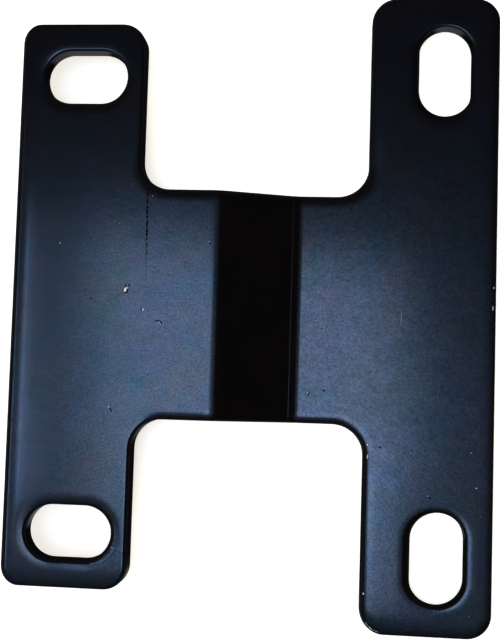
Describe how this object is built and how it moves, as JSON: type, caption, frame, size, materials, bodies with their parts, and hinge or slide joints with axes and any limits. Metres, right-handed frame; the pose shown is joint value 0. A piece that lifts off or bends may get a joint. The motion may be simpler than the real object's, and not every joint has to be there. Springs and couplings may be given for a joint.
{
  "type": "front fairing bracket",
  "caption": "H-shaped bracket of painted steel plate with a stepped web, arms of unequal length and slotted bolt holes near the arms' ends.",
  "frame": {"origin": "under the middle of the web, in the plane of the right panel's back face", "axes": "+X across the width from the left arm to the right arm, +Y along the arms, +Z out of the front face"},
  "size_m": [0.1, 0.132, 0.01],
  "materials": {
    "black_paint": "semi-gloss black paint with a fine orange peel"
  },
  "bodies": {
    "root": {"bracket_plate": "black_paint"}
  },
  "joints": []
}
